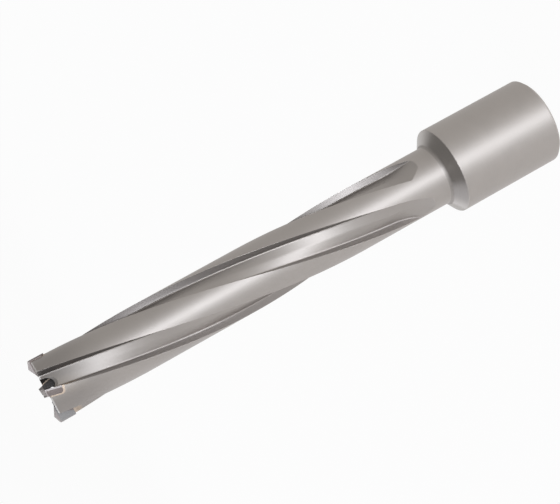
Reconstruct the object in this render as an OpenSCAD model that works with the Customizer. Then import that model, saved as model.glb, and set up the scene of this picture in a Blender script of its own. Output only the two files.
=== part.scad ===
// Annular cutter: a hollow core drill with a plain clamping shank, four helical flutes
// and four carbide teeth brazed into its front end. All lengths are in millimetres.
// The axis is +Z: the shank's back face is at z = 0 and the teeth point up.

/* [Shank] */
// Diameter of the shank
shank_d = 19.05; // [17:0.05:22]
// Length of the shank, from its back face to the shoulder
shank_len = 23.7; // [20:0.1:32]
// Chamfer on the shank's back edge
shank_chamfer = 0.6; // [0.3:0.1:1.2]
// Depth of each of the two clamping flats
flat_depth = 0.7; // [0.4:0.1:1.2]
// Length of each clamping flat
flat_len = 12; // [8:0.5:14]
// Distance from the shank's back face to the middle of the flats
flat_mid = 11; // [9:0.5:12]
// Diameter of the hole for a pilot pin
pilot_d = 6.4; // [5:0.1:6.6]
// Length of the pilot pin's hole, from the shank's back face
pilot_len = 28; // [24:0.5:32]

/* [Body] */
// Diameter of the neck and of the lands between the flutes
body_d = 13.05; // [12.6:0.05:13.5]
// Length of the conical shoulder between shank and neck
shoulder_len = 2.3; // [1.5:0.1:4]
// Radius of the fillet where the shoulder meets the neck
neck_fillet = 0.8; // [0.3:0.1:1.5]
// Length from the end of the shoulder to the front face
body_len = 91.3; // [70:0.1:110]
// Chamfer on the outer edge of the front face
front_chamfer = 0.2; // [0.1:0.05:0.3]
// Diameter of the bore that takes the core
core_d = 7; // [6.9:0.1:7.4]

/* [Flutes] */
// Lead of the milling pass that leaves the leading wall
front_pass_lead = 180; // [150:5:220]
// Lead of the milling pass that leaves the heel wall, which widens the flute towards the shank
heel_pass_lead = 200; // [180:5:240]
// Angle that one milling pass opens, seen along the axis
pass_angle = 38; // [34:0.5:42]
// Thickness left between the floor of a flute and the bore
floor_wall = 1.2; // [0.9:0.05:1.5]
// Radius in the corners of the floor
flute_fillet = 0.35; // [0.2:0.05:0.6]
// Length of plain neck between the shoulder and the middle of the flutes' ends
neck_len = 5.2; // [4:0.1:10]
// Radius of the milling disc, which shapes the run-out
disc_r = 16; // [12:1:30]
// How much nearer to the shank the heel side runs out than the leading side
runout_slant = 2.4; // [0:0.1:3.5]
// Angle by which the disc swings towards the leading side as it leaves
runout_swing = 5.5; // [0:0.5:8]

/* [Teeth] */
// Diameter that the teeth cut
cut_d = 13.6; // [13.4:0.05:14.4]
// Diameter of the core that the teeth leave
slug_d = 6.8; // [6.2:0.05:6.85]
// Thickness of a tooth in the direction of the cut
tooth_t = 1.4; // [1.1:0.05:1.8]
// Length of a tooth that is seated in the body
tooth_seat = 3; // [2.4:0.1:4]
// Height of a tooth's peak above the front face
tooth_out = 0.95; // [0.8:0.05:1.5]
// Diameter of the circle through the teeth's peaks
peak_d = 10.4; // [9:0.1:12]
// Slope of the cutting edge from its peak to its outer corner
outer_slope = 20; // [5:1:30]
// Slope of the cutting edge from its peak to its inner corner
inner_slope = 26; // [5:1:35]
// Clearance angle behind the cutting edge
top_relief = 8; // [4:1:15]
// Width of the round margin on a tooth's outer side
margin_w = 0.45; // [0.2:0.05:0.8]
// Clearance angle behind the margin
side_relief = 10; // [4:1:15]
// Radius on the lower rear corner of a tooth
tooth_round = 0.5; // [0.2:0.1:0.8]
// How far a cutting face stands ahead of the flute's leading wall
face_proud = 0.12; // [0.05:0.01:0.25]
// Thickness of the braze behind a tooth
braze_side = 0.25; // [0.1:0.05:0.4]
// Thickness of the braze below a tooth
braze_end = 0.45; // [0.2:0.05:0.6]

/* [Gullets] */
// Width of the gullet ahead of a tooth
gullet_w = 2.5; // [1.8:0.1:2.8]
// Depth of the gullet at the flute's floor, below the front face
gullet_depth = 2.4; // [1.8:0.1:2.8]
// Slope of the gullet's end, which falls away outwards
gullet_slope = 25; // [0:1:35]

/* [Hidden] */
$fn = 96;
tooth_count = 4;
// The first tooth faces -Y, and the flats lie on the other side.
first_tooth_angle = -90;
flat_angles = [60, 150];
shank_r = shank_d / 2;
body_r = body_d / 2;
core_r = core_d / 2;
shoulder_z = shank_len + shoulder_len;
front_z = shoulder_z + body_len;
shoulder_angle = atan2(shank_r - body_r, shoulder_len);
// Room by which a cutting tool runs past the surface that it cuts.
past = 1.5;

floor_r = core_r + floor_wall;
flute_depth = body_r - floor_r;
half_pass = pass_angle / 2;
front_rate = 360 / front_pass_lead;
heel_rate = 360 / heel_pass_lead;
flute_end_z = shoulder_z + neck_len;
runout_len = sqrt(2 * disc_r * flute_depth - flute_depth * flute_depth);
runout_z = flute_end_z + runout_len;
fillet_steps = 3;
runout_steps = 9;
helix_steps = 28;

helix_angle = atan(PI * body_d / front_pass_lead);
gullet_r = gullet_w / 2;
// The gullet reaches this far behind the cutting face, into the tooth's pocket.
gullet_back = 0.25;

// Turned form of the shank, shoulder, neck and body, before any milling.
module turned_form() {
    fillet_mid = [body_r + neck_fillet, shoulder_z + neck_fillet * tan((90 - shoulder_angle) / 2)];
    fillet = [
        for (i = [0:6])
            let (a = 180 + shoulder_angle * (1 - i / 6))
            fillet_mid + neck_fillet * [cos(a), sin(a)]
    ];
    rotate_extrude()
        polygon(concat(
            [[0, 0], [shank_r - shank_chamfer, 0], [shank_r, shank_chamfer], [shank_r, shank_len]],
            fillet,
            [[body_r, front_z - front_chamfer], [body_r - front_chamfer, front_z], [0, front_z]]
        ));
}

// Pilot pin's hole through the shank, and the wider bore for the core.
module bores() {
    translate([0, 0, -past])
        cylinder(d = pilot_d, h = pilot_len + 2 * past);
    translate([0, 0, pilot_len])
        cylinder(d = core_d, h = front_z - pilot_len + past);
}

// Flats on the shank for the clamping screws.
module clamping_flats() {
    for (a = flat_angles)
        rotate([0, 0, a])
            translate([shank_r - flat_depth, -shank_r, flat_mid - flat_len / 2])
                cube([shank_r, shank_d, flat_len]);
}

// Height by which the milling disc has left the flute at station t, on a circle of its radius.
function lift(t) =
    t >= runout_z ? 0 : disc_r - sqrt(disc_r * disc_r - pow(runout_z - t, 2));

function swing(t) = runout_swing * lift(t) / flute_depth;

// Angles of the middle of the two passes at height z. The passes lie together at the front face.
function front_mid(z, t) = half_pass + front_rate * (z - front_z) - swing(t);
function heel_mid(z, t) = half_pass + heel_rate * (z - front_z) - swing(t);

// Point of a pass at height z: u is along the floor and w is away from the axis.
function in_pass(mid, u, w, z) = [w * cos(mid) - u * sin(mid), w * sin(mid) + u * cos(mid), z];

// Wall and floor corner on one side of a flute, from outside the body down to the floor.
// The leading side is -1 and the heel side is 1.
function flute_side(t, side) =
    let (
        z = t - side * runout_slant / 2,
        mid = side < 0 ? front_mid(z, t) : heel_mid(z, t),
        floor_w = floor_r + lift(t),
        corner_u = floor_r * tan(half_pass),
        top_w = body_r + past,
        top_u = corner_u + (top_w - floor_w) * tan(half_pass),
        fillet_u = corner_u - flute_fillet * (1 - sin(half_pass)) / cos(half_pass),
        fillet_w = floor_w + flute_fillet
    )
    concat(
        [in_pass(mid, side * top_u, top_w, z)],
        [
            for (i = [0:fillet_steps])
                let (a = -half_pass - (90 - half_pass) * i / fillet_steps)
                in_pass(mid, side * (fillet_u + flute_fillet * cos(a)), fillet_w + flute_fillet * sin(a), z)
        ]
    );

// Section of a flute: the flat floors of the two passes meet in a low ridge.
// The ridge is as far along as the heel side, so that only the floor of the front pass ends at a slant.
function flute_ring(t) =
    let (
        z = t - runout_slant / 2,
        mid = (front_mid(z, t) + heel_mid(z, t)) / 2,
        spread = (heel_mid(z, t) - front_mid(z, t)) / 2,
        heel = flute_side(t, 1)
    )
    concat(
        flute_side(t, -1),
        [in_pass(mid, 0, (floor_r + lift(t)) / cos(spread), z)],
        [for (i = [len(heel) - 1:-1:0]) heel[i]],
        [in_pass(mid, 0, body_r + past, z)]
    );

// Everything that the two passes of one flute take away, from beyond its run-out to past the front.
module flute() {
    first = flute_end_z - past;
    last = front_z + runout_slant / 2 + past;
    stations = concat(
        [for (i = [0:runout_steps - 1]) first + (runout_z - first) * i / runout_steps],
        [for (i = [0:helix_steps]) runout_z + (last - runout_z) * i / helix_steps]
    );
    rings = [for (t = stations) flute_ring(t)];
    n = len(rings[0]);
    top = (len(rings) - 1) * n;
    polyhedron(
        points = [for (ring = rings, p = ring) p],
        faces = concat(
            [for (j = [0:n - 3]) [n - 1, j + 1, j]],
            [for (j = [0:n - 3]) [top + n - 1, top + j, top + j + 1]],
            [
                for (i = [0:len(rings) - 2], j = [0:n - 1])
                    let (a = i * n + j, b = i * n + (j + 1) % n)
                    each [[a, b, a + n], [b, b + n, a + n]]
            ]
        ),
        convexity = 6
    );
}

// Places a child at a tooth: X points outwards, Y ahead in the cut and Z up along the flute's wall.
module at_tooth(k) {
    rotate([0, 0, first_tooth_angle + 360 * k / tooth_count])
        translate([0, 0, front_z])
            rotate([-helix_angle, 0, 0])
                children();
}

// Side view of a tooth's block, or of its pocket with room for the braze. The lower rear corner is round.
module seat_outline(side_room, end_room, ahead) {
    back = face_proud - tooth_t - side_room;
    face = face_proud + ahead;
    foot = -tooth_seat - end_room;
    top = tooth_out + past + ahead;
    round_r = tooth_round + side_room;
    translate([back, foot + round_r])
        square([face - back, top - foot - round_r]);
    translate([back + round_r, foot])
        square([face - back - round_r, top - foot]);
    translate([back + round_r, foot + round_r])
        circle(r = round_r);
}

// Turns a side view into a block that runs outwards from inside the bore.
module outwards() {
    rotate([90, 0, 90])
        linear_extrude(cut_d / 2 + past)
            children();
}

module tooth_pocket() {
    outwards()
        seat_outline(braze_side, braze_end, 0);
}

// Round-ended notch through the flute's floor, against the cutting face.
module gullet() {
    translate([floor_r, face_proud - gullet_back + gullet_r, gullet_r - gullet_depth])
        rotate([0, gullet_slope, 0])
            translate([-floor_r, 0, 0]) {
                rotate([0, 90, 0])
                    cylinder(r = gullet_r, h = cut_d / 2 + past);
                translate([0, -gullet_r, 0])
                    cube([cut_d / 2 + past, gullet_w, gullet_depth + floor_r]);
            }
}

// One steel piece: turned, bored, fluted, notched and pocketed.
module cutter_body() {
    color([0.72, 0.71, 0.70])
        difference() {
            turned_form();
            bores();
            clamping_flats();
            for (k = [0:tooth_count - 1]) {
                rotate([0, 0, first_tooth_angle + 360 * k / tooth_count])
                    flute();
                at_tooth(k)
                    gullet();
                at_tooth(k)
                    tooth_pocket();
            }
        }
}

// Half space above one slope of the cutting edge, which falls from the peak and towards the back.
module edge_bevel(slope) {
    size = cut_d;
    translate([peak_d / 2, face_proud, tooth_out])
        rotate([top_relief, 0, 0])
            rotate([0, slope, 0])
                translate([-size, -size, 0])
                    cube(2 * size);
}

// Half space outside the relieved flank, behind the margin.
module flank_relief() {
    size = cut_d;
    translate([cut_d / 2, face_proud - margin_w, 0])
        rotate([0, 0, -side_relief])
            translate([0, -size, -size / 2])
                cube(size);
}

// Carbide tooth, ground to a roof-shaped edge with a margin on its outer side.
module carbide_tip(k) {
    color([0.60, 0.58, 0.58])
        difference() {
            intersection() {
                at_tooth(k)
                    outwards()
                        seat_outline(0, 0, 0);
                cylinder(d = cut_d, h = front_z + tooth_out + past);
            }
            cylinder(d = slug_d, h = front_z + tooth_out + 2 * past);
            at_tooth(k) {
                edge_bevel(outer_slope);
                edge_bevel(-inner_slope);
                flank_relief();
            }
        }
}

// Braze that fills the pocket behind and below a tooth, flush with the body.
module braze_seam(k) {
    color([0.80, 0.64, 0.45])
        difference() {
            intersection() {
                at_tooth(k)
                    tooth_pocket();
                turned_form();
            }
            cylinder(d = core_d, h = front_z + past);
            at_tooth(k)
                outwards()
                    seat_outline(0, 0, past);
        }
}

cutter_body();
carbide_tip(0);  // carbide_tip_1
carbide_tip(1);  // carbide_tip_2
carbide_tip(2);  // carbide_tip_3
carbide_tip(3);  // carbide_tip_4
braze_seam(0);  // braze_seam_1
braze_seam(1);  // braze_seam_2
braze_seam(2);  // braze_seam_3
braze_seam(3);  // braze_seam_4
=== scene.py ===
import math

import bmesh
import bpy
import numpy as np
from mathutils import Matrix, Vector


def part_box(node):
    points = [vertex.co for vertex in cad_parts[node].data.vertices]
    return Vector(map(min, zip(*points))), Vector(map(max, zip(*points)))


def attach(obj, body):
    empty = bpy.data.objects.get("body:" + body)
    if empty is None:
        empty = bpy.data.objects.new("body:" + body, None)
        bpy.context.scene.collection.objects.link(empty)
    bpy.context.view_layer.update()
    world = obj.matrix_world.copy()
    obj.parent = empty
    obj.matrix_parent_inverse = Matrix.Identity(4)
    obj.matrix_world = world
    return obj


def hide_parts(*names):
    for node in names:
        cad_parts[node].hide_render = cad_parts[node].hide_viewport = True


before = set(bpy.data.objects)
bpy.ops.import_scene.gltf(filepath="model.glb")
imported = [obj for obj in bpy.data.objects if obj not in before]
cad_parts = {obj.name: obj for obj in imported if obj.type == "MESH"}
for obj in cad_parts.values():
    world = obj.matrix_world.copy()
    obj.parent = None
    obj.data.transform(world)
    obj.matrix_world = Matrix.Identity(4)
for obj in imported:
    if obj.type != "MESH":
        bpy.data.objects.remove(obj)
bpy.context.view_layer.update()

# Cutter body. One bar of tool steel, turned to a plain shank, a conical shoulder and a long tube,
# bored from both ends, fluted by two milling passes for each flute and ground on its lands.
# The seats of the teeth and the gullets before them are milled into its front end.
MM = 0.001
front_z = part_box("cutter_body")[1].z / MM
shank_r = 9.525
shank_len = 23.7
shank_chamfer = 0.6
shank_edge = 0.08
shoulder_len = 2.3
neck_fillet = 0.8
body_r = 6.525
front_chamfer = 0.2
edge_break = 0.03
pilot_r = 3.2
pilot_len = 28.0
core_r = 3.5
flute_count = 4
first_tooth_angle = math.radians(-90)
pitch_angle = 2 * math.pi / flute_count
front_pass_lead = 180
heel_pass_lead = 200
front_pass_rate = 2 * math.pi / front_pass_lead
heel_pass_rate = 2 * math.pi / heel_pass_lead
pass_angle = math.radians(38)
half_pass = pass_angle / 2
floor_r = 4.7
flute_depth = body_r - floor_r
flute_fillet = 0.35
flute_end_z = 31.2
disc_r = 16
runout_slant = 2.4
runout_swing = math.radians(5.5)
runout_z = flute_end_z + math.sqrt(2 * disc_r * flute_depth - flute_depth**2)
shoulder_z = shank_len + shoulder_len
shoulder_angle = math.atan2(shank_r - body_r, shoulder_len)
neck_z = shoulder_z + neck_fillet * math.tan((math.pi / 2 - shoulder_angle) / 2)
lift_reach = 0.7 * disc_r
end_zone = 1.0
end_past = 0.1
wall_depth = 0.05
wall_steps = 4
corner_steps = 9
floor_steps = 6
land_steps = 24
flute_rows = 190
runout_rows = 30
end_rows = 16
neck_rows = 8
fillet_rows = 8
bore_rows = 60


def lift(t):
    """Height of the milling disc above the full depth at station t.

    It leaves along a circle of its own radius, and its reach past the run-out is limited.
    """
    away = np.clip(runout_z - t, 0, lift_reach)
    return disc_r - np.sqrt(disc_r**2 - away**2)


def pass_middle(z, t, rate):
    """Angle of a pass at height z: it turns at its own rate, and swings back as the disc lifts."""
    return half_pass + rate * (z - front_z) - runout_swing * lift(t) / flute_depth


def in_pass(middle, u, w, z):
    """Point of a pass: u runs along its flat floor, w away from the axis, and both turn with it."""
    x = w * np.cos(middle) - u * np.sin(middle)
    y = w * np.sin(middle) + u * np.cos(middle)
    return np.stack(np.broadcast_arrays(x, y, z), axis=-1)


def flute_side(t, slant, side, rate):
    """Wall and floor corner on one side of a flute, from the land's edge down, at each station t.

    The wall is a line that leans out by half the angle of its pass, up to where it meets the land.
    The corner is an arc from the slope of the wall to the floor.
    """
    t = t[:, None]
    z = t - side * slant[:, None] / 2
    slope = math.tan(half_pass)
    steepness = 1 + slope**2
    floor_w = floor_r + lift(t)
    corner_u = floor_r * slope
    wall_base = corner_u - floor_w * slope
    turn = np.linspace(half_pass, math.pi / 2, corner_steps + 1)
    arc_u = corner_u - flute_fillet * (1 / math.cos(half_pass) - slope - np.cos(turn))
    arc_w = floor_w + flute_fillet * (1 - np.sin(turn))
    edge_r = body_r - edge_break
    top_w = (np.sqrt(edge_r**2 * steepness - wall_base**2) - wall_base * slope) / steepness
    top_w = np.maximum(top_w, arc_w[:, :1])
    wall_w = top_w + (arc_w[:, :1] - top_w) * np.arange(wall_steps) / wall_steps
    u = np.concatenate([wall_base + slope * wall_w, arc_u + 0 * arc_w], axis=1)
    w = np.concatenate([wall_w, arc_w], axis=1)
    return in_pass(pass_middle(z, t, rate), side * u, w, z)


def blend(start, end, share):
    """Points between two columns of points, at the given shares of the way."""
    return start + (end - start) * share[:, None]


def turned(points, angle):
    """The points turned about the axis."""
    cos, sin = math.cos(angle), math.sin(angle)
    return points @ np.array([[cos, sin, 0], [-sin, cos, 0], [0, 0, 1]])


def fluted_rings(t, slant):
    """Outline of the tube at each station t: four flutes and the round lands between them.

    Across a flute run wall, corner, two flat floors that meet in a low ridge, corner and wall.
    A land is an arc from a flute's heel edge to the next flute's leading edge.
    Nothing is outside the turned form with its front chamfer.
    """
    lead = flute_side(t, slant, -1, front_pass_rate)
    heel = flute_side(t, slant, 1, heel_pass_rate)[:, ::-1]
    ridge_z = t - slant / 2
    lead_middle = pass_middle(ridge_z, t, front_pass_rate)[:, None]
    heel_middle = pass_middle(ridge_z, t, heel_pass_rate)[:, None]
    ridge_r = (floor_r + lift(t)[:, None]) / np.cos((heel_middle - lead_middle) / 2)
    ridge = in_pass((lead_middle + heel_middle) / 2, 0, ridge_r, ridge_z[:, None])
    share = np.arange(1, floor_steps) / floor_steps
    lead_floor = blend(lead[:, -1:], ridge, share)
    heel_floor = blend(ridge, heel[:, :1], share)
    flute = np.concatenate([lead, lead_floor, ridge, heel_floor, heel], axis=1)
    start = np.arctan2(flute[:, -1, 1], flute[:, -1, 0]) + edge_break / body_r
    end = np.arctan2(flute[:, 0, 1], flute[:, 0, 0]) + pitch_angle - edge_break / body_r
    share = np.linspace(0, 1, land_steps)
    angle = start[:, None] + np.mod(end - start, 2 * math.pi)[:, None] * share
    z = flute[:, -1:, 2] + (flute[:, :1, 2] - flute[:, -1:, 2]) * share
    land = in_pass(angle, 0, body_r, z)
    quarter = np.concatenate([flute, land], axis=1)
    rings = [turned(quarter, first_tooth_angle + pitch_angle * k) for k in range(flute_count)]
    rings = np.concatenate(rings, axis=1)
    limit = body_r - np.clip(rings[..., 2] - front_z + front_chamfer, 0, front_chamfer)
    rings[..., :2] *= np.minimum(1, limit / np.hypot(rings[..., 0], rings[..., 1]))[..., None]
    return rings


def arc(centre, radius, start, end, steps):
    """Points (r, z) on an arc about a centre, at both ends of each step."""
    a = np.linspace(start, end, steps + 1)
    return np.stack([centre[0] + radius * np.cos(a), centre[1] + radius * np.sin(a)], axis=1)


def revolved(profile, angles):
    """Rings of a turned form: each (r, z) of the profile goes round at the given angles."""
    r, z = profile[:, :1], profile[:, 1:]
    return in_pass(angles, 0, r, z)


def plain_tube(radius, start_angles, end_angles, start_z, end_z, rows):
    """Rings of a round tube after its first one, in even steps from its first to its last ring."""
    share = np.linspace(0, 1, rows + 1)[1:, None]
    angles = start_angles + (end_angles - start_angles) * share
    return in_pass(angles, 0, radius, start_z + (end_z - start_z) * share)


def shank_profile():
    """Profile (r, z) from the shoulder's fillet over the shank and back up through the pilot hole."""
    centre = (body_r + neck_fillet, neck_z)
    fillet = arc(centre, neck_fillet, math.pi, math.pi + shoulder_angle, fillet_rows)[1:]
    edge_in = shank_edge * math.sin(shoulder_angle)
    edge_up = shank_edge * math.cos(shoulder_angle)
    back_r = shank_r - shank_chamfer
    shank = np.array([
        [shank_r - edge_in, shank_len + edge_up],
        [shank_r, shank_len - shank_edge],
        [shank_r, shank_len * 2 / 3],
        [shank_r, shank_len / 3],
        [shank_r, shank_chamfer],
        [back_r, 0],
        [(back_r + pilot_r) / 2, 0],
        [pilot_r, 0],
        [pilot_r, pilot_len / 2],
        [pilot_r, pilot_len],
        [core_r, pilot_len],
    ])
    return np.concatenate([fillet, shank])


def body_rings():
    """All rings of the body, down its outside from the front face and back up through its bores.

    Also gives a mark for each cell of the grid: 1 on the side walls of the flutes and 0 elsewhere.
    """
    t = np.concatenate([
        [front_z, front_z - front_chamfer],
        np.linspace(front_z - 2 * front_chamfer, runout_z, flute_rows, endpoint=False),
        np.linspace(runout_z, flute_end_z + end_zone, runout_rows, endpoint=False),
        np.linspace(flute_end_z + end_zone, flute_end_z - end_past, end_rows),
    ])
    slant = runout_slant * np.clip((front_z - t) / (front_z - runout_z), 0, 1)
    tube = fluted_rings(t, slant)
    last = tube[-1]
    uneven = np.unwrap(np.arctan2(last[:, 1], last[:, 0]))
    even = uneven[0] + 2 * math.pi * np.arange(len(uneven)) / len(uneven)
    neck = plain_tube(body_r, uneven, even, last[:, 2], neck_z, neck_rows)
    shank = revolved(shank_profile(), even)
    front = np.unwrap(np.arctan2(tube[0, :, 1], tube[0, :, 0]))
    front += 2 * math.pi * np.round((even[0] - front[0]) / (2 * math.pi))
    bore = plain_tube(core_r, even, front, pilot_len, front_z, bore_rows)
    rings = np.concatenate([tube, neck, shank, bore])
    column = np.arange(len(last)) % (len(last) // flute_count)
    side = wall_steps + corner_steps // 2
    flute_columns = 2 * (wall_steps + corner_steps + floor_steps)
    on_wall = (column < side) | ((column >= flute_columns - side) & (column < flute_columns))
    radius = np.hypot(rings[..., 0], rings[..., 1])
    sunk = np.minimum(radius, np.roll(radius, -1, axis=1)) < body_r - wall_depth
    return rings, np.outer(np.arange(len(rings)) < len(tube), on_wall) & sunk


merge_gap = 1e-4


def put_in_scene(name, vertices, faces, wall):
    """A mesh piece in millimetres, with a mark for each face as its attribute "wall".

    Points that fall together are merged, and its faces point outwards.
    """
    mesh = bpy.data.meshes.new(name)
    mesh.from_pydata(np.reshape(vertices, (-1, 3)).tolist(), [], faces.tolist())
    marks = mesh.attributes.new("wall", "FLOAT", "FACE")
    marks.data.foreach_set("value", np.ravel(wall).astype(np.float32))
    work = bmesh.new()
    work.from_mesh(mesh)
    bmesh.ops.remove_doubles(work, verts=work.verts, dist=merge_gap)
    bmesh.ops.dissolve_degenerate(work, edges=work.edges, dist=merge_gap)
    bmesh.ops.recalc_face_normals(work, faces=work.faces)
    work.to_mesh(mesh)
    work.free()
    piece = bpy.data.objects.new(name, mesh)
    bpy.context.scene.collection.objects.link(piece)
    return piece


def closed_grid_faces(rows, columns):
    """Quads of a grid that closes on itself both ways."""
    index = np.arange(rows * columns).reshape(rows, columns)
    below = np.roll(index, -1, axis=0)
    corners = [index, below, np.roll(below, -1, axis=1), np.roll(index, -1, axis=1)]
    return np.stack(corners, axis=-1).reshape(-1, 4)


tooth_t = 1.4
tooth_seat = 3.0
tooth_out = 0.95
tooth_round = 0.5
face_proud = 0.12
cut_r = 6.8
braze_side = 0.25
braze_end = 0.45
seat_start = 2.6
seat_steps = 12
gullet_w = 2.5
gullet_depth = 2.4
gullet_slope = math.radians(25)
gullet_back = 0.25
gullet_start = 1.5
gullet_steps = 48
helix_angle = math.atan(front_pass_rate * body_r)
flat_depth = 0.7
flat_len = 12.0
flat_mid = 11.0
flat_angles = (math.radians(60), math.radians(150))
past = 1.5


def seat_outline():
    """Side view (y, z) of a tooth's pocket with room for the braze.

    It is a rectangle whose lower rear corner is an arc.
    """
    back = face_proud - tooth_t - braze_side
    foot = -tooth_seat - braze_end
    radius = tooth_round + braze_side
    corner = arc((back + radius, foot + radius), radius, math.pi, 1.5 * math.pi, seat_steps)
    top = tooth_out + past
    return np.concatenate([corner, [[face_proud, foot], [face_proud, top], [back, top]]])


def gullet_outline():
    """Side view (y, z) of a gullet: a half round with straight sides above it."""
    radius = gullet_w / 2
    half_round = arc((0, 0), radius, math.pi, 2 * math.pi, gullet_steps)
    top = gullet_depth + floor_r
    return np.concatenate([half_round, [[radius, top], [-radius, top]]])


def flat_outline():
    """Side view (y, z) of the cut for a clamping flat: a rectangle twice the shank's radius wide."""
    foot = flat_mid - flat_len / 2
    top = flat_mid + flat_len / 2
    return np.array([[-shank_r, foot], [shank_r, foot], [shank_r, top], [-shank_r, top]])


def bar(outline, start, end):
    """A side view (y, z) carried along x, from start to end."""
    flat = np.insert(outline, 0, 0, axis=1)
    return np.stack([flat + [start, 0, 0], flat + [end, 0, 0]])


def tilted(points, angle, axes):
    """The points turned in the plane of two of their axes, from the first towards the second."""
    a, b = axes
    out = np.array(points, float)
    out[..., a] = points[..., a] * math.cos(angle) - points[..., b] * math.sin(angle)
    out[..., b] = points[..., a] * math.sin(angle) + points[..., b] * math.cos(angle)
    return out


def at_teeth(points):
    """Copies of the points at the four teeth.

    There x points outwards, y ahead in the cut and z along the leading wall.
    """
    up = tilted(points, -helix_angle, (1, 2)) + [0, 0, front_z]
    return [turned(up, first_tooth_angle + pitch_angle * k) for k in range(flute_count)]


def cut_away(piece, bars):
    """Takes bars away from a piece. A bar is two equal outlines, one at each end."""
    count = bars[0].shape[1]
    start = np.arange(count)
    around = np.roll(start, -1)
    sides = np.stack([start, around, around + count, start + count], axis=1)
    for number, ends in enumerate(bars):
        tool = put_in_scene(f"cut_{number}", ends, sides, np.zeros(count))
        work = bmesh.new()
        work.from_mesh(tool.data)
        bmesh.ops.holes_fill(work, edges=work.edges)
        bmesh.ops.recalc_face_normals(work, faces=work.faces)
        work.to_mesh(tool.data)
        work.free()
        cut = piece.modifiers.new(tool.name, "BOOLEAN")
        cut.object = tool
        cut.operation = "DIFFERENCE"
        cut.solver = "MANIFOLD"
    graph = bpy.context.evaluated_depsgraph_get()
    done = bpy.data.meshes.new_from_object(piece.evaluated_get(graph))
    for cut in list(piece.modifiers):
        tool = cut.object
        piece.modifiers.remove(cut)
        bpy.data.objects.remove(tool)
    piece.data = done


def shade(piece, sharp_angle):
    """Smooth shading, apart from edges sharper than the angle."""
    piece.data.shade_smooth()
    piece.data.set_sharp_from_angle(angle=sharp_angle)


rings, wall = body_rings()
body = put_in_scene("body", rings, closed_grid_faces(*rings.shape[:2]), wall)
gullet = bar(gullet_outline(), gullet_start - floor_r, cut_r + past - floor_r)
gullet = tilted(gullet, -gullet_slope, (0, 2))
gullet += [floor_r, face_proud - gullet_back + gullet_w / 2, gullet_w / 2 - gullet_depth]
cut_away(body, at_teeth(gullet))
cut_away(body, at_teeth(bar(seat_outline(), seat_start, cut_r + past)))
flat = bar(flat_outline(), shank_r - flat_depth, shank_r + past)
cut_away(body, [turned(flat, angle) for angle in flat_angles])
body.data.transform(Matrix.Scale(MM, 4))
body_sharp_angle = math.radians(11)
shade(body, body_sharp_angle)
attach(body, "root")
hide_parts("cutter_body")


class Flow:
    """A value, vector or colour on its way through a material.

    Arithmetic on values adds Math nodes. With no socket it is only a place to add nodes from.
    """

    def __init__(self, tree, socket=None):
        self.tree = tree
        self.socket = socket

    def node(self, kind, settings, inputs, output=0):
        """Adds a node of a kind, sets its settings, then fills or links its sockets.

        Gives one of its outputs.
        """
        made = self.tree.nodes.new(kind)
        for name, value in settings.items():
            setattr(made, name, value)
        for name, value in inputs.items():
            if isinstance(value, Flow):
                self.tree.links.new(value.socket, made.inputs[name])
            else:
                made.inputs[name].default_value = value
        return Flow(self.tree, made.outputs[output])

    def math(self, operation, *values):
        """Adds a Math node on the given values."""
        return self.node("ShaderNodeMath", {"operation": operation}, dict(enumerate(values)))

    def __add__(self, other):
        return self.math("ADD", self, other)

    def __sub__(self, other):
        return self.math("SUBTRACT", self, other)

    def __mul__(self, other):
        return self.math("MULTIPLY", self, other)

    __radd__ = __add__
    __rmul__ = __mul__

    def __rsub__(self, other):
        return self.math("SUBTRACT", other, self)

    def ramp(self, start, end):
        """0 up to start, 1 from end, and a smooth rise between them."""
        inputs = {"Value": self, "From Min": start, "From Max": end}
        return self.node("ShaderNodeMapRange", {"interpolation_type": "SMOOTHSTEP"}, inputs)

    def mix(self, first, second):
        """Mixes two colours, with this value as the share of the second."""
        inputs = {0: self, 6: first, 7: second}
        return self.node("ShaderNodeMix", {"data_type": "RGBA"}, inputs, output=2)

    def grain(self, x, y, z, detail=2):
        """Noise about 0, at a place given by three values."""
        place = self.node("ShaderNodeCombineXYZ", {}, {0: x, 1: y, 2: z})
        inputs = {"Vector": place, "Scale": 1.0, "Detail": detail}
        return self.node("ShaderNodeTexNoise", {}, inputs) - 0.5


def new_finish(name):
    """An empty metal material.

    Gives it, its shader, and the x, y and z of a point of the piece in millimetres.
    """
    material = bpy.data.materials.new(name)
    material.use_nodes = True
    tree = material.node_tree
    shader = tree.nodes["Principled BSDF"]
    shader.inputs["Metallic"].default_value = 1.0
    place = Flow(tree).node("ShaderNodeTexCoord", {}, {}, output="Object")
    inputs = {0: place, "Scale": 1 / MM}
    place = place.node("ShaderNodeVectorMath", {"operation": "SCALE"}, inputs)
    along = [place.node("ShaderNodeSeparateXYZ", {}, {0: place}, output=axis) for axis in "XYZ"]
    return material, shader, along


def feed(shader, name, value):
    """Links a value to one of the shader's sockets."""
    value.tree.links.new(value.socket, shader.inputs[name])


def emboss(shader, height, strength, depth):
    """Bumps the shader's surface by a height, with a strength and a depth in millimetres."""
    inputs = {"Strength": strength, "Distance": depth * MM, "Height": height}
    feed(shader, "Normal", height.node("ShaderNodeBump", {}, inputs))


def off_axis(x, y):
    """Distance of a point from the axis."""
    return x.math("SQRT", x * x + y * y)


def past_tooth(x, y, z):
    """Angle of a point ahead of the nearest leading wall, which winds with the front pass."""
    turn = x.math("ARCTAN2", y, x) - (z - front_z) * front_pass_rate - first_tooth_angle
    return turn.math("WRAP", turn, pitch_angle / 2, -pitch_angle / 2)


ring_rate = 14
ring_spread = 0.4
line_rate = 9
line_spread = 0.25


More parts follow.
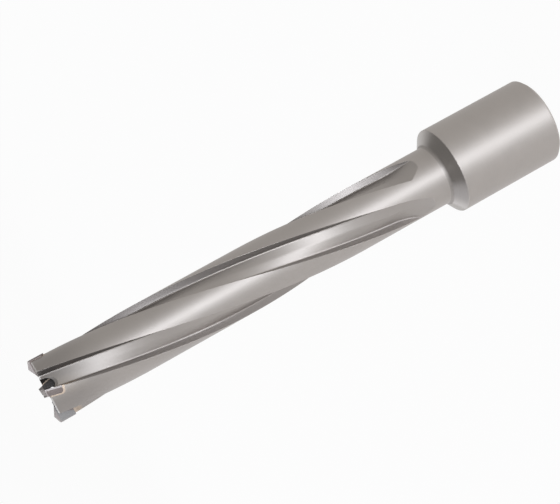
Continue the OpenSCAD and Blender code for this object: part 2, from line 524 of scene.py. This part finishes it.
def tool_marks(x, y, z, in_flute):
    """Marks about 0: fine turning rings on the shank and lands, and long lines in the flutes.

    The lines are noise on x and y turned back by the front pass, which changes slowly along z.
    """
    ring_marks = x.grain(x * ring_spread, y * ring_spread, z * ring_rate, detail=3)
    angle = (z - front_z) * front_pass_rate
    cos = angle.math("COSINE", angle)
    sin = angle.math("SINE", angle)
    back_x = (x * cos + y * sin) * line_rate
    back_y = (y * cos - x * sin) * line_rate
    line_marks = x.grain(back_x, back_y, z * line_spread, detail=3)
    return ring_marks * (1 - in_flute) + line_marks * in_flute


cone_zone = (shank_len, shank_len + 0.1)
fillet_zone = (shoulder_z - 0.55, shoulder_z - 0.35)
tip_zone = (front_z - 15, front_z - 3)
front_floor_zone = (front_z - 34, front_z - 22)
back_floor_zone = (50, 57)
# Painted shade: shares of black that darken the steel along the tube, near the tip, on the cone, on
# the neck's fillet and at both ends of the flutes.
tube_shade = 0.08
tip_shade = 0.2
cone_shade = 0.25
fillet_shade = 0.2
floor_shade = 0.08


def painted_shade_share(z, in_flute, on_cone):
    """Share of black painted into the steel as shade: it grows along the tube and near the tip.

    The cone, the fillet of the neck, and both ends of the flutes get more of this painted shade.
    """
    on_fillet = z.ramp(*fillet_zone) * (1 - z.ramp(shoulder_z, neck_z))
    shade_share = tube_shade * z.ramp(shank_len, front_z) + tip_shade * z.ramp(*tip_zone)
    shade_share = shade_share + cone_shade * on_cone + fillet_shade * on_fillet
    flute_ends = z.ramp(*front_floor_zone) + (1 - z.ramp(*back_floor_zone))
    return shade_share + in_flute * (floor_shade * flute_ends)


# Painted shade on the flutes' side walls: dark on the heel side, darker towards the tip, and lighter
# on the leading side. The braze runs below are real.
heel_zone = (front_z - 50, front_z - 12)
heel_shade_back_colour = (0.15, 0.136, 0.126, 1)
heel_shade_front_colour = (0.114, 0.102, 0.095, 1)
leading_band = (0.2, 0.4)
leading_shade_colour = (0.317, 0.29, 0.273, 1)
corner_band = (floor_r + 0.4, floor_r + 1.0)
corner_run_zone = (front_z - 7, front_z - 5)
wall_run_zone = (front_z - 5, front_z - 4)
wall_run_share = 0.5
run_colour = (0.44, 0.33, 0.229, 1)


def wall_shade_and_braze_run(z, radius, aside, beside):
    """Colour of the flutes' side walls: painted shade, dark on the heel side and lighter on the
    leading side.

    Beside a tooth, some braze has run down the wall, and farther down its corner.
    """
    heel_shade_colour = z.ramp(*heel_zone).mix(heel_shade_back_colour, heel_shade_front_colour)
    leading = 1 - aside.ramp(*leading_band)
    colour = leading.mix(heel_shade_colour, leading_shade_colour)
    in_corner = 1 - radius.ramp(*corner_band)
    corner_run = z.ramp(*corner_run_zone) * in_corner
    wall_run = wall_run_share * z.ramp(*wall_run_zone) * (1 - in_corner)
    return ((corner_run + wall_run) * beside).mix(colour, run_colour)


# Black, mixed into the steel as painted shade.
shade_black = (0, 0, 0, 1)
steel_dark = (0.37, 0.341, 0.317, 1)
steel_light = (0.458, 0.419, 0.389, 1)
cloud_rate = 0.25
cloud_tone = 0.6
mark_tone = 0.8
beside_band = (0.06, 0.45)
stain_zone = (front_z - 9, front_z - 3)
stain_share = 0.15
stain_cloud = 0.7
stain_colour = (0.44, 0.37, 0.29, 1)
# Painted highlight on the front face and its chamfer.
front_zone = (front_z - 0.3, front_z - 0.1)
front_highlight_share = 0.8
front_highlight_colour = (0.748, 0.722, 0.695, 1)
# Painted shade on the bore's inner wall.
bore_shade_band = (core_r + 0.02, core_r + 0.1)
bore_shade_colour = (0.044, 0.0396, 0.037, 1)
steel_rough = 0.62
cone_smoother = 0.3
wall_smoother = 0.16
wall_calm = 0.8
mark_rough = 0.10
cloud_rough = 0.06


def steel_finish():
    """Satin steel with the marks of its tools and a faint cloudiness.

    It has painted shade on the flute walls, in the bore, along the tube and on the cone, a painted
    highlight on the front face, and a golden stain by the braze.
    """
    material, shader, (x, y, z) = new_finish("ground_steel")
    radius = off_axis(x, y)
    fluted = z.ramp(flute_end_z - 2 * end_zone, flute_end_z - end_zone)
    in_flute = (body_r - edge_break - radius).ramp(0.0, 2 * edge_break) * fluted
    on_wall = x.node("ShaderNodeAttribute", {"attribute_name": "wall"}, {}, output="Fac")
    on_cone = z.ramp(*cone_zone) * (1 - z.ramp(*fillet_zone))
    cloud = x.grain(x * cloud_rate, y * cloud_rate, z * cloud_rate)
    marks = tool_marks(x, y, z, in_flute)
    tone = 0.5 + cloud * cloud_tone + marks * mark_tone
    colour = tone.mix(steel_dark, steel_light)
    # Painted shade: black mixed in along the tube, near the tip, on the cone, the neck's fillet and
    # the flute ends.
    colour = painted_shade_share(z, in_flute, on_cone).mix(colour, shade_black)
    turn = past_tooth(x, y, z)
    aside = turn.math("ABSOLUTE", turn)
    beside = 1 - aside.ramp(*beside_band)
    stain = z.ramp(*stain_zone) * beside * (stain_share + stain_cloud * cloud)
    colour = stain.mix(colour, stain_colour)
    # Painted highlight on the front face and its chamfer.
    colour = (front_highlight_share * z.ramp(*front_zone)).mix(colour, front_highlight_colour)
    # Painted shade inside the bore.
    colour = (1 - radius.ramp(*bore_shade_band)).mix(colour, bore_shade_colour)
    # The flutes' side walls get painted shade, and real braze runs beside the teeth.
    feed(shader, "Base Color", on_wall.mix(colour, wall_shade_and_braze_run(z, radius, aside, beside)))
    calm_marks = marks * (1 - wall_calm * on_wall)
    roughness = steel_rough - cone_smoother * on_cone - wall_smoother * on_wall
    feed(shader, "Roughness", roughness + calm_marks * mark_rough + cloud * cloud_rough)
    emboss(shader, calm_marks, strength=0.14, depth=0.02)
    shader.inputs["Anisotropic"].default_value = 0.6
    shader.inputs["Anisotropic Rotation"].default_value = 0.25
    return material


def coat(piece, material):
    """Gives a piece its only material."""
    piece.data.materials.clear()
    piece.data.materials.append(material)


coat(body, steel_finish())

# Carbide teeth. Four sintered blocks, each brazed into its pocket at the front end of a land,
# then ground to a roof-shaped edge with a round margin outside.
edge_round = 0.03 * MM
edge_steps = 2
node_merge_gap = 1e-3 * MM
level_angle = math.radians(1)
node_sharp_angle = math.radians(25)


def refined(node, name):
    """A copy of a CAD node with merged faces and finely rounded edges, which stands for it."""
    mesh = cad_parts[node].data.copy()
    mesh.name = name
    work = bmesh.new()
    work.from_mesh(mesh)
    bmesh.ops.remove_doubles(work, verts=work.verts, dist=node_merge_gap)
    bmesh.ops.dissolve_limit(work, angle_limit=level_angle, verts=work.verts, edges=work.edges)
    work.to_mesh(mesh)
    work.free()
    piece = bpy.data.objects.new(name, mesh)
    bpy.context.scene.collection.objects.link(piece)
    bevel = piece.modifiers.new("edges", "BEVEL")
    bevel.width = edge_round
    bevel.segments = edge_steps
    bevel.limit_method = "ANGLE"
    bevel.angle_limit = node_sharp_angle
    bevel.harden_normals = True
    shade(piece, node_sharp_angle)
    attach(piece, "root")
    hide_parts(node)
    return piece


outside_band = (cut_r - 0.15, cut_r - 0.1)
margin_band = (-0.04, -0.03)
face_band = (0.006, 0.012)
roof_band = (-0.18, -0.16)
ahead_zone = (front_z + 0.1, front_z + 0.3)
inside_shade_band = (core_r - 0.05, core_r + 0.05)
flank_colour = (0.176, 0.145, 0.134, 1)
face_colour = (0.255, 0.245, 0.236, 1)
# Painted highlight on the round margin.
margin_highlight_colour = (0.299, 0.273, 0.26, 1)
ahead_colour = (0.317, 0.282, 0.268, 1)
# Painted highlight on the roof behind the edge.
roof_highlight_colour = (0.704, 0.651, 0.625, 1)
# Painted shade on the part inside the bore.
inside_shade_colour = (0.044, 0.0405, 0.0387, 1)
grain_colour = (0.106, 0.0968, 0.0933, 1)
grain_rate = 6
grain_share = 0.25
scratch_rate = 20
scratch_spread = 3
carbide_rough = 0.6
outside_rougher = 0.1
scratch_rough = 0.08


def carbide_finish():
    """Fine ground carbide, a dark and slightly pink grey with an even grain and fine scratches.

    The leading face is paler than the flank, and so is what stands ahead of the body. The round
    margin is paler than the flank with a painted highlight, the roof behind the edge is bright with a
    painted highlight, and the part inside the bore is dark with painted shade.
    """
    material, shader, (x, y, z) = new_finish("carbide")
    grain = x.grain(x * grain_rate, y * grain_rate, z * grain_rate, detail=4)
    scratches = x.grain(x * scratch_spread, y * scratch_spread, z * scratch_rate)
    radius = off_axis(x, y)
    turn = past_tooth(x, y, z)
    outside = radius.ramp(*outside_band)
    margin = outside * turn.ramp(*margin_band)
    face = turn.ramp(*face_band) * (1 - outside)
    ahead = z.ramp(*ahead_zone)
    roof = ahead * turn.ramp(*roof_band) * (1 - face) * (1 - outside)
    colour = face.mix(flank_colour, face_colour)
    # Painted highlight on the round margin.
    colour = margin.mix(colour, margin_highlight_colour)
    colour = ahead.mix(colour, ahead_colour)
    # Painted highlight on the roof behind the edge.
    colour = roof.mix(colour, roof_highlight_colour)
    # Painted shade on the part inside the bore.
    colour = (1 - radius.ramp(*inside_shade_band)).mix(colour, inside_shade_colour)
    colour = (grain_share + grain).mix(colour, grain_colour)
    feed(shader, "Base Color", colour)
    roughness = carbide_rough + outside_rougher * (outside - margin)
    feed(shader, "Roughness", roughness + scratches * scratch_rough)
    emboss(shader, grain + scratches, strength=0.1, depth=0.01)
    return material


carbide = carbide_finish()
for number in range(1, flute_count + 1):
    tip = refined(f"carbide_tip_{number}", f"tip_{number}")
    coat(tip, carbide)

# Braze seams. Copper-gold filler metal in the joint behind and below each tooth.
# It was melted into the joint to hold the tooth, and then ground flush with the land.
seam_dark = (0.317, 0.251, 0.194, 1)
seam_light = (0.405, 0.334, 0.273, 1)
mottle_rate = 2.5
seam_rough = 0.6
mottle_rough = 0.2


def braze_finish():
    """Dull copper-gold braze, mottled where it flowed."""
    material, shader, (x, y, z) = new_finish("braze")
    mottle = x.grain(x * mottle_rate, y * mottle_rate, z * mottle_rate, detail=3)
    feed(shader, "Base Color", (0.5 + mottle).mix(seam_dark, seam_light))
    feed(shader, "Roughness", seam_rough + mottle * mottle_rough)
    emboss(shader, mottle, strength=0.2, depth=0.03)
    return material


braze = braze_finish()
for number in range(1, flute_count + 1):
    seam = refined(f"braze_seam_{number}", f"braze_{number}")
    coat(seam, braze)

# Studio. A matt pale floor under the standing cutter, a narrow soft light low by the camera, wide
# dim panels round it, a white backdrop and a dim ceiling. The camera looks down on the cutter
# a little and is rolled, so that the cutter slants across the picture.
floor_half = 40.0
floor_tone = 0.8
floor_rough = 0.9
floor_white = 0.95
floor_corners = floor_half * np.array([[-1, -1, 0], [1, -1, 0], [1, 1, 0], [-1, 1, 0]])
floor_mesh = bpy.data.meshes.new("floor")
floor_mesh.from_pydata(floor_corners.tolist(), [], [(0, 1, 2, 3)])
floor = bpy.data.objects.new("floor", floor_mesh)
bpy.context.scene.collection.objects.link(floor)


def shown_white(tree, share, mirrored=1.0):
    """Share of a white background in what the camera sees of a surface.

    Reflections and glass see the mirrored part of that share.
    """
    seen = Flow(tree).node("ShaderNodeLightPath", {}, {}, output="Is Camera Ray")
    for kind in ("Is Glossy Ray", "Is Transmission Ray"):
        ray = seen.node("ShaderNodeLightPath", {}, {}, output=kind)
        seen = seen.math("MAXIMUM", seen, ray * mirrored)
    return seen * share


def floor_finish():
    """Matt pale floor that is shown as a white background but keeps some of the object's shadow."""
    material = bpy.data.materials.new("floor")
    material.use_nodes = True
    tree = material.node_tree
    shader = tree.nodes["Principled BSDF"]
    shader.inputs["Base Color"].default_value = (floor_tone, floor_tone, floor_tone, 1)
    shader.inputs["Roughness"].default_value = floor_rough
    matt = Flow(tree, shader.outputs["BSDF"])
    white = matt.node("ShaderNodeEmission", {}, {})
    inputs = {0: shown_white(tree, floor_white), 1: matt, 2: white}
    feed(tree.nodes["Material Output"], "Surface", matt.node("ShaderNodeMixShader", {}, inputs))
    return material


coat(floor, floor_finish())

facing_angle = math.radians(-91.1)
key_colour = (0.93, 1.0, 1.1)
cool_colour = (0.95, 1.0, 1.1)
warm_colour = (1.0, 0.98, 0.95)


def soft_light(name, side, distance, foot, size, radiance, colour):
    """An upright soft panel that faces the cutter, with its lower edge at the foot.

    It stands to one side of the camera, by an angle in degrees round the cutter's axis.
    Its power is pi times its area times its radiance.
    """
    width, height = size
    lamp = bpy.data.lights.new(name, "AREA")
    lamp.shape = "RECTANGLE"
    lamp.size = width
    lamp.size_y = height
    lamp.energy = math.pi * width * height * radiance
    lamp.color = colour
    holder = bpy.data.objects.new(name, lamp)
    holder.matrix_world = (
        Matrix.Rotation(facing_angle + math.radians(side), 4, "Z")
        @ Matrix.Translation((distance, 0, foot + height / 2))
        @ Matrix.Rotation(math.pi / 2, 4, "Z")
        @ Matrix.Rotation(math.pi / 2, 4, "X")
    )
    holder.visible_camera = False
    bpy.context.scene.collection.objects.link(holder)


soft_light("key", -2, 1.5, foot=0.01, size=(0.25, 0.35), radiance=69.0, colour=key_colour)
soft_light("fill_side", 36, 1.5, foot=0.05, size=(1.2, 1.2), radiance=0.12, colour=warm_colour)
soft_light("fill_left", -62, 1.5, foot=0.02, size=(2.0, 0.35), radiance=1.9, colour=cool_colour)
soft_light("fill_back", -128, 1.6, foot=0.35, size=(2.2, 3.0), radiance=0.75, colour=cool_colour)
soft_light("fill_right", 148, 1.6, foot=0.08, size=(1.4, 1.1), radiance=0.2, colour=key_colour)
soft_light("fill_low", -128, 1.6, foot=0.03, size=(1.3, 0.35), radiance=1.2, colour=key_colour)

room_level = 0.4
backdrop_top = math.radians(25)
backdrop_fade = math.radians(12)
horizon_level = floor_white + (1 - floor_white) * floor_tone * room_level


def room_strength(tree):
    """Strength of the room round the cutter, as bright at the horizon as the floor is.

    The camera sees that all round. Reflections and glass see it up to the backdrop's top,
    where it fades to the dim level of the ceiling, which also lights the floor.
    """
    ray = Flow(tree).node("ShaderNodeTexCoord", {}, {}, output="Generated")
    rise = ray.node("ShaderNodeSeparateXYZ", {}, {0: ray}, output="Z")
    fade_start = math.sin(backdrop_top - backdrop_fade)
    fade_end = math.sin(backdrop_top + backdrop_fade)
    backdrop = 1 - rise.ramp(fade_start, fade_end)
    return shown_white(tree, horizon_level - room_level, backdrop) + room_level


world = bpy.data.worlds.new("room")
bpy.context.scene.world = world
world.use_nodes = True
sky = world.node_tree.nodes["Background"]
sky.inputs["Color"].default_value = (1, 1, 1, 1)
feed(sky, "Strength", room_strength(world.node_tree))

picture_w = 560
picture_centre = (280, 252)
focal_px = 1300.6
shank_centre_px = (533.65, 120.25)
shank_depth = 279.42
camera_roll = math.radians(28.958)
camera_height = math.radians(12.939)
sensor_mm = 36


def camera_matrix():
    """Camera axes and place from the cutter's own.

    In the camera's view, the cutter's axis slants by the roll and tips towards the camera by its
    height. The centre of the shank's back face is at its pixel and depth.
    """
    cos, sin = math.cos(camera_roll), math.sin(camera_roll)
    tip, away = math.cos(camera_height), math.sin(camera_height)
    axis = np.array([-cos * tip, sin * tip, -away])
    across = np.array([sin, cos, 0])
    facing = np.cross(axis, across)
    x_axis = math.cos(facing_angle) * facing + math.sin(facing_angle) * across
    y_axis = np.cross(axis, x_axis)
    to_camera = np.stack([x_axis, y_axis, axis], axis=1)
    shank = np.array([
        (shank_centre_px[0] - picture_centre[0]) / focal_px,
        (shank_centre_px[1] - picture_centre[1]) / focal_px,
        1,
    ]) * shank_depth * MM
    turn = to_camera.T @ np.diag([1, -1, -1])
    return Matrix.Translation(-to_camera.T @ shank) @ Matrix(turn.tolist()).to_4x4()


camera_data = bpy.data.cameras.new("camera")
camera_data.sensor_width = sensor_mm
camera_data.lens = focal_px / picture_w * sensor_mm
camera_data.clip_start = 0.01
camera_data.clip_end = 20
camera = bpy.data.objects.new("camera", camera_data)
camera.matrix_world = camera_matrix()
bpy.context.scene.collection.objects.link(camera)
bpy.context.scene.camera = camera
bpy.context.scene.view_settings.view_transform = "Standard"
